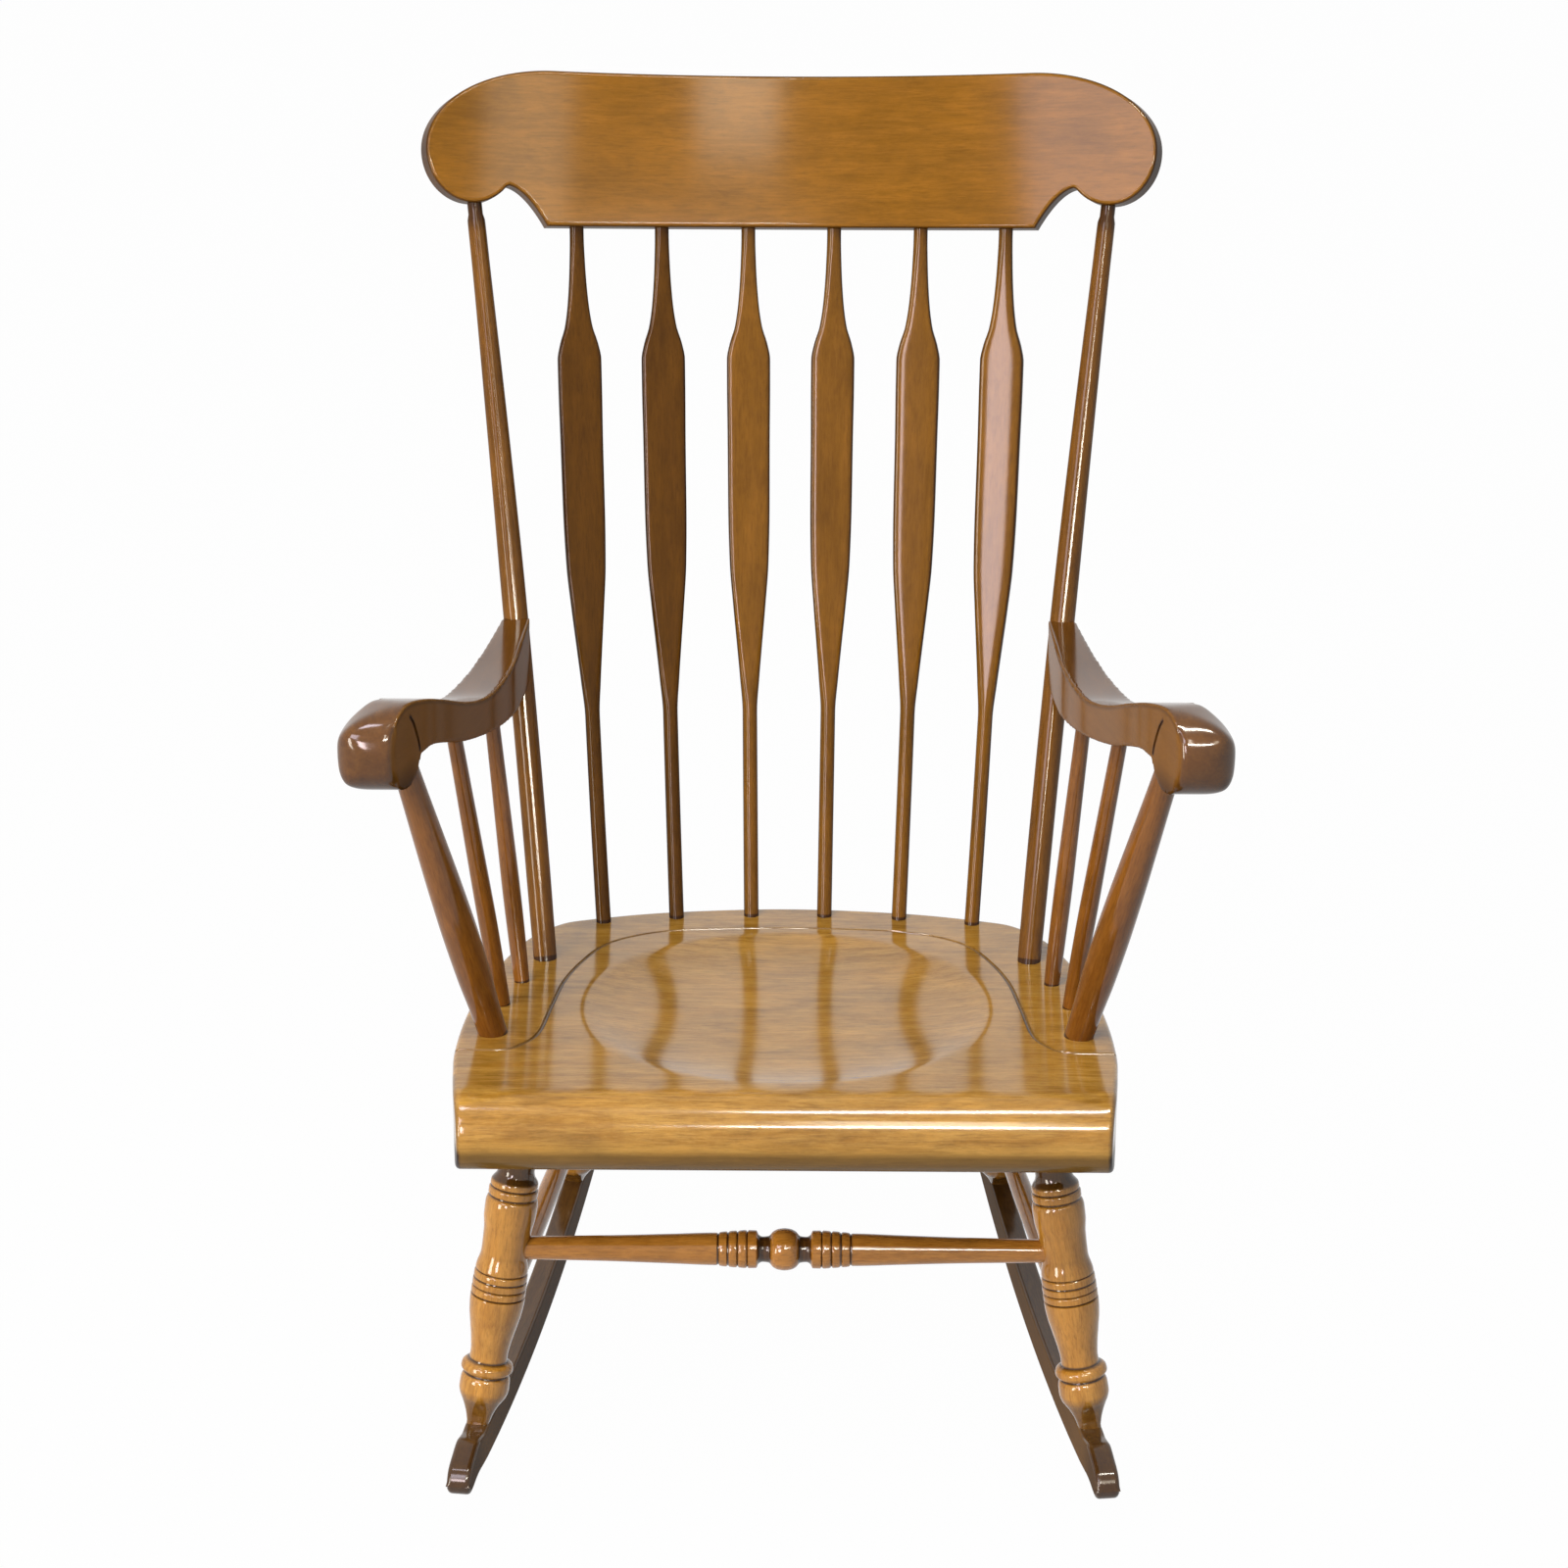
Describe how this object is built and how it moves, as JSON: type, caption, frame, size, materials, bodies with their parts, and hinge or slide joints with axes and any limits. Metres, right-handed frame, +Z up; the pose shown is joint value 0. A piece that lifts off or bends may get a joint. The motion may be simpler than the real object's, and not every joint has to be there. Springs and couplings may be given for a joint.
{
  "type": "rocking chair",
  "caption": "Wooden rocking chair: bent crest rail over a tall back of arrow-shaped spindles, scrolled arms, saddled seat with a rolled front, turned legs, curved rockers.",
  "frame": {"origin": "centre of the chair's footprint box, on the floor", "axes": "+X to the right as seen from the front, +Y to the back of the chair, +Z up; the sitter faces -Y"},
  "size_m": [0.673, 0.7394, 1.0795],
  "materials": {
    "seat_wood": "semi-gloss honey-brown lacquer, grain across the seat",
    "crest_wood": "semi-gloss honey-brown lacquer, grain along the rail",
    "spindle_wood": "semi-gloss medium-brown lacquer, grain along the blade",
    "turned_wood": "semi-gloss medium-brown lacquer on round turnings",
    "arm_wood": "glossy dark-brown lacquer",
    "leg_wood": "glossy golden-brown lacquer with darker stain in the grooves",
    "stretcher_wood": "glossy golden-brown lacquer on round turnings",
    "rocker_wood": "glossy dark-brown lacquer, darkest on the noses",
    "screw_steel": "plain wood screw steel"
  },
  "bodies": {
    "root": {"seat": "seat_wood", "crest_rail": "crest_wood", "arrow_spindle_1": "spindle_wood", "arrow_spindle_2": "spindle_wood", "arrow_spindle_3": "spindle_wood", "arrow_spindle_4": "spindle_wood", "arrow_spindle_5": "spindle_wood", "arrow_spindle_6": "spindle_wood", "back_post_left": "turned_wood", "arm_left": "arm_wood", "arm_post_left": "turned_wood", "arm_spindle_left_1": "turned_wood", "arm_spindle_left_2": "turned_wood", "arm_screw_left": "screw_steel", "arm_screw_plug_left": "turned_wood", "front_leg_left": "leg_wood", "rear_leg_left": "leg_wood", "side_stretcher_left": "stretcher_wood", "rocker_left": "rocker_wood", "back_post_right": "turned_wood", "arm_right": "arm_wood", "arm_post_right": "turned_wood", "arm_spindle_right_1": "turned_wood", "arm_spindle_right_2": "turned_wood", "arm_screw_right": "screw_steel", "arm_screw_plug_right": "turned_wood", "front_leg_right": "leg_wood", "rear_leg_right": "leg_wood", "side_stretcher_right": "stretcher_wood", "rocker_right": "rocker_wood", "front_stretcher": "stretcher_wood", "rear_stretcher": "stretcher_wood"}
  },
  "joints": []
}
